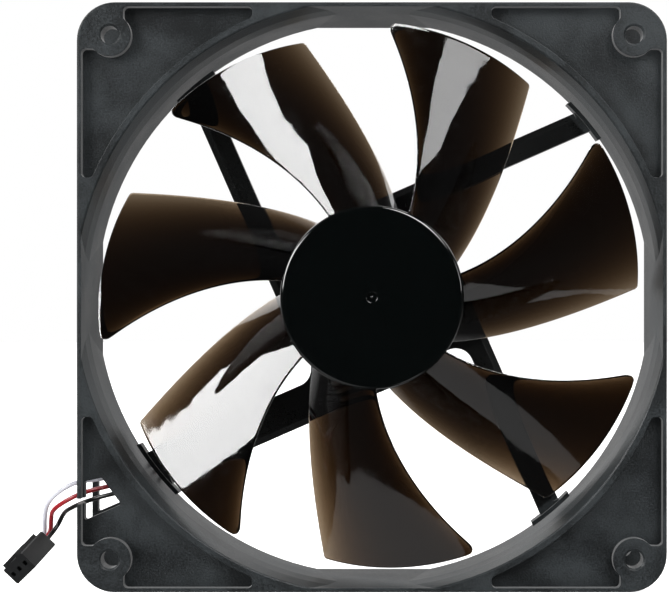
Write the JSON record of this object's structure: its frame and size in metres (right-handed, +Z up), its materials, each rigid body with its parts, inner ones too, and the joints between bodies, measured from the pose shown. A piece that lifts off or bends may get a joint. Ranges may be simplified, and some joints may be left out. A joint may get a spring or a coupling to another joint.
{
  "type": "case fan",
  "caption": "Square axial case fan with a smoke-tinted impeller on a brushless motor, open-corner frame, slanted struts and a short three-lead cable with plug.",
  "frame": {"origin": "centre of the square frame, on the shaft's axis, half-way through its depth", "axes": "+Z up with the fan standing on its lower edge, +Y along the shaft from the intake face to the exhaust face, +X to the right seen from the intake side"},
  "size_m": [0.1597, 0.025, 0.14],
  "materials": {
    "frame_plastic": "fine-textured moulded",
    "smoke_plastic": "polished, smoke-tinted, translucent",
    "yoke_steel": "zinc plated",
    "ferrite": "bonded ferrite",
    "brass": "turned",
    "shaft_steel": "ground",
    "nylon": "natural nylon",
    "sintered_bronze": "sintered, oiled",
    "label_film": "blank sticker",
    "lamination_steel": "stamped",
    "bobbin_plastic": "moulded",
    "enamelled_copper": "enamelled wire",
    "tinned_steel": "tinned",
    "board_laminate": "solder mask",
    "chip_epoxy": "moulded epoxy",
    "capacitor_can": "drawn can",
    "resistor_ceramic": "glazed",
    "white_insulation": "PVC",
    "red_insulation": "PVC",
    "black_insulation": "PVC",
    "plug_nylon": "moulded nylon",
    "tinned_terminal": "tinned bronze"
  },
  "bodies": {
    "housing": {"frame": "frame_plastic", "bearing_tube": "brass", "sleeve_bearing": "sintered_bronze", "oil_seal_ring": "nylon", "thrust_cap": "nylon", "base_label": "label_film", "stator_core": "lamination_steel", "insulator_front": "bobbin_plastic", "insulator_rear": "bobbin_plastic", "winding_coils": "enamelled_copper", "winding_pins": "tinned_steel", "circuit_board": "board_laminate", "hall_sensor": "chip_epoxy", "driver_chip": "chip_epoxy", "polarity_diode": "chip_epoxy", "smoothing_capacitor": "capacitor_can", "board_resistors": "resistor_ceramic", "wire_white_held": "white_insulation", "wire_white": "white_insulation", "wire_red_held": "red_insulation", "wire_red": "red_insulation", "wire_black_held": "black_insulation", "wire_black": "black_insulation", "connector_housing": "plug_nylon", "connector_terminals": "tinned_terminal"},
    "rotor": {"impeller": "smoke_plastic", "rotor_yoke": "yoke_steel", "magnet_ring": "ferrite", "shaft_bush": "brass", "shaft": "shaft_steel", "wear_washer": "nylon", "retaining_clip": "nylon"}
  },
  "joints": [
    {"name": "rotor_spin", "type": "hinge", "parent": "housing", "child": "rotor", "pos_m": [0, 0, 0], "axis": [0, -1, 0], "continuous": true}
  ]
}
